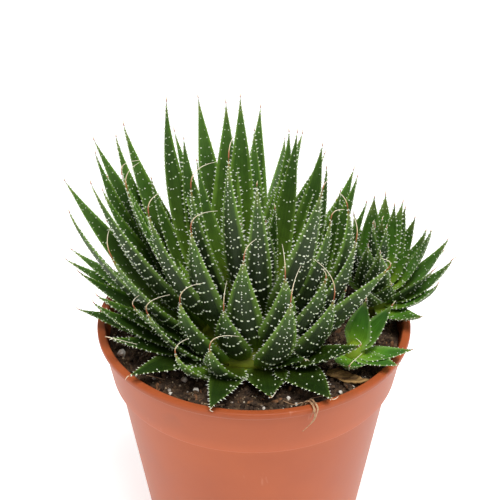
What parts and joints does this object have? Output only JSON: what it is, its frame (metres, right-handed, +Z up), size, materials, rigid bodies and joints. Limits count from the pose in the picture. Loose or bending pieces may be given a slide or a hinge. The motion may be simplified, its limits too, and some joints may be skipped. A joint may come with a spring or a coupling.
{
  "type": "potted lace aloe",
  "caption": "Clump of lace aloe rosettes with white-toothed, speckled leaves, growing in soil in a round tapered flower pot with a band and a thin lip.",
  "frame": {"origin": "middle of the pot's flat foot, where it stands", "axes": "+Z up along the pot's axis, -Y towards the viewer of the picture, +X towards the side rosette"},
  "size_m": [0.1295, 0.1119, 0.165],
  "materials": {
    "pot": "terracotta-coloured moulded plastic, satin",
    "soil": "crumbly peat with pale grains, matt",
    "main_rosette": "thick dark green leaves with white spots, satin",
    "side_rosette": "thick dark green leaves with white spots, satin",
    "young_rosette": "smooth bright green leaves, satin",
    "dry_leaf": "dry papery dead leaf, matt",
    "root_wisp": "dry root fibres, matt"
  },
  "bodies": {
    "root": {"pot": "pot", "soil": "soil", "main_rosette": "main_rosette", "side_rosette": "side_rosette", "young_rosette": "young_rosette", "dry_leaf": "dry_leaf", "root_wisp": "root_wisp"}
  },
  "joints": []
}
